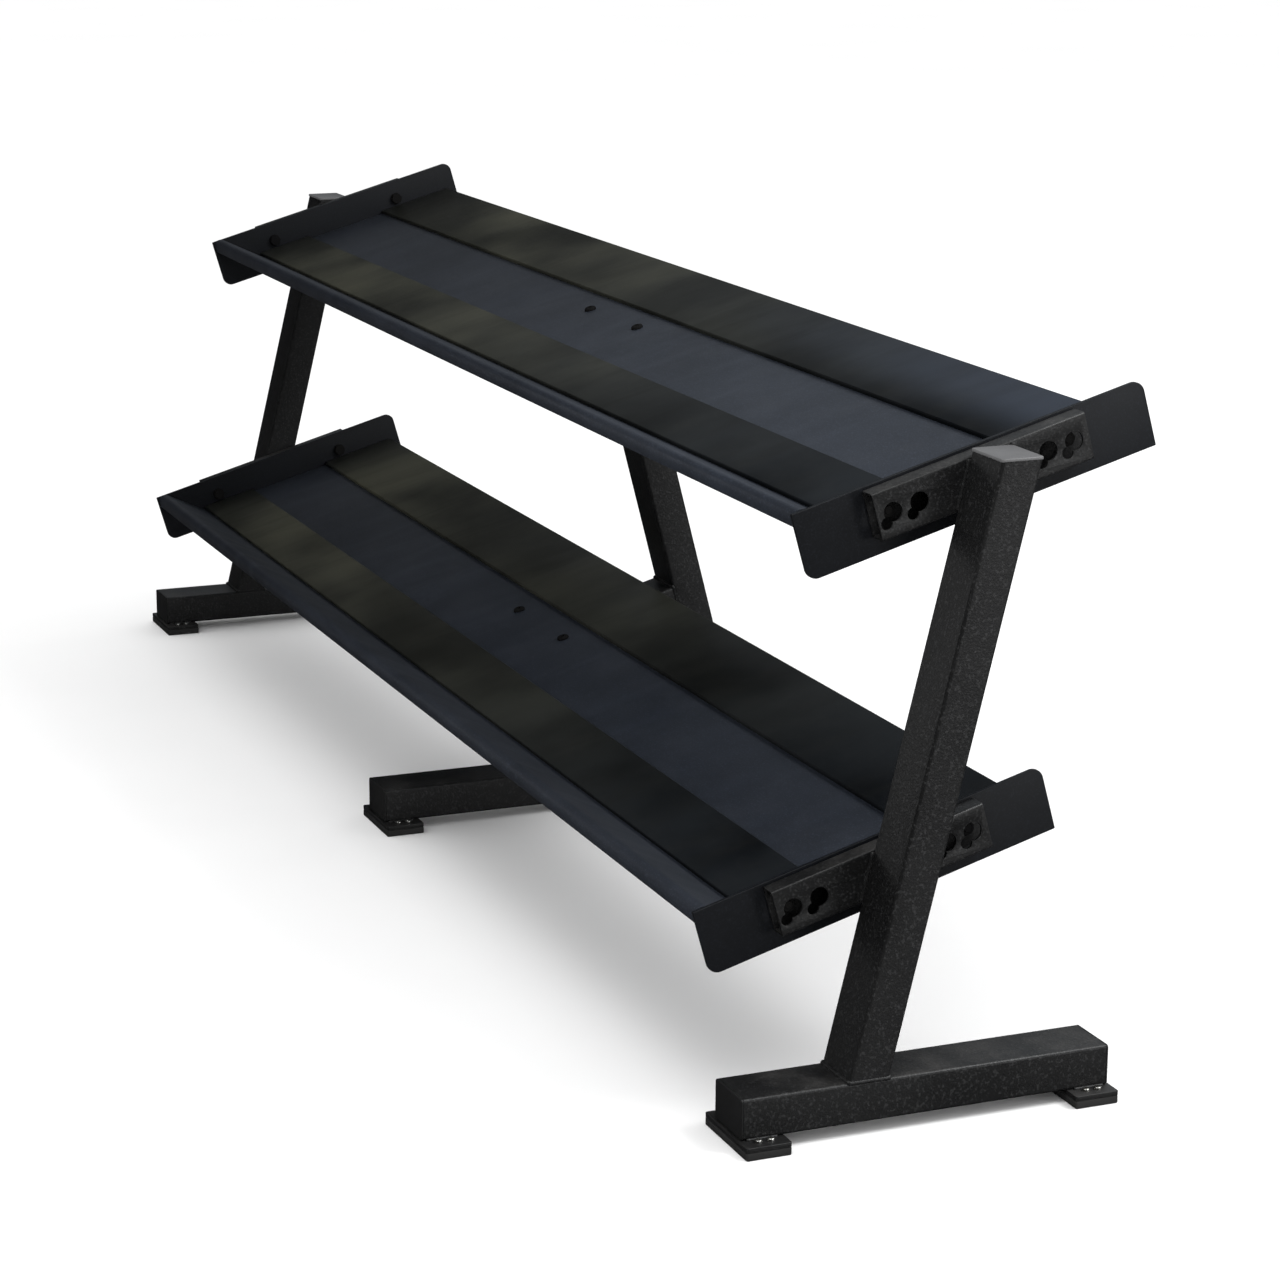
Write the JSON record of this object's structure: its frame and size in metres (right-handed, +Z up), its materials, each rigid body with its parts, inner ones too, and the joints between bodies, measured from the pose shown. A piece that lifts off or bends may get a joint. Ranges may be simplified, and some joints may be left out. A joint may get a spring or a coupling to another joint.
{
  "type": "dumbbell rack",
  "caption": "Free-standing steel dumbbell rack with long tilted trays, leaning uprights, flat feet and rubber pads.",
  "frame": {"origin": "on the floor, under the middle of the overall box", "axes": "+X along the rack to the right end, -Y to the front (the low edge of the trays), +Z up"},
  "size_m": [2.7638, 0.6216, 0.8549],
  "materials": {
    "frame_paint": "fine textured black powder coat",
    "foot_plate_paint": "fine textured black powder coat",
    "tray_paint": "satin blue-black powder coat",
    "end_plate_paint": "satin blue-black powder coat",
    "liner_strip": "smooth semi-gloss black",
    "pad_rubber": "matt",
    "foot_cap_plastic": "fine textured",
    "upright_cap_plastic": "satin",
    "zinc_hardware": "bright zinc plate",
    "black_bolt": "black oxide"
  },
  "bodies": {
    "root": {"left_foot": "frame_paint", "middle_foot": "frame_paint", "right_foot": "frame_paint", "left_foot_front_cap": "foot_cap_plastic", "left_foot_back_cap": "foot_cap_plastic", "middle_foot_front_cap": "foot_cap_plastic", "middle_foot_back_cap": "foot_cap_plastic", "right_foot_front_cap": "foot_cap_plastic", "right_foot_back_cap": "foot_cap_plastic", "left_upright": "frame_paint", "right_upright": "frame_paint", "left_upright_cap": "upright_cap_plastic", "right_upright_cap": "upright_cap_plastic", "middle_post": "frame_paint", "middle_arm": "frame_paint", "middle_arm_cap": "foot_cap_plastic", "upper_saddle": "frame_paint", "lower_saddle": "frame_paint", "left_front_foot_plate": "foot_plate_paint", "left_back_foot_plate": "foot_plate_paint", "middle_front_foot_plate": "foot_plate_paint", "middle_back_foot_plate": "foot_plate_paint", "right_front_foot_plate": "foot_plate_paint", "right_back_foot_plate": "foot_plate_paint", "left_front_pad": "pad_rubber", "left_back_pad": "pad_rubber", "middle_front_pad": "pad_rubber", "middle_back_pad": "pad_rubber", "right_front_pad": "pad_rubber", "right_back_pad": "pad_rubber", "pad_screws": "zinc_hardware", "upper_tray": "tray_paint", "lower_tray": "tray_paint", "upper_front_liner": "liner_strip", "upper_back_liner": "liner_strip", "lower_front_liner": "liner_strip", "lower_back_liner": "liner_strip", "upper_left_end_plate": "end_plate_paint", "upper_right_end_plate": "end_plate_paint", "lower_left_end_plate": "end_plate_paint", "lower_right_end_plate": "end_plate_paint", "upper_left_bracket": "frame_paint", "upper_right_bracket": "frame_paint", "lower_left_bracket": "frame_paint", "lower_right_bracket": "frame_paint", "end_plate_bolts": "black_bolt", "end_plate_washers": "black_bolt", "end_plate_nuts": "black_bolt", "saddle_bolts": "black_bolt", "saddle_washers": "zinc_hardware", "saddle_nuts": "zinc_hardware"}
  },
  "joints": []
}
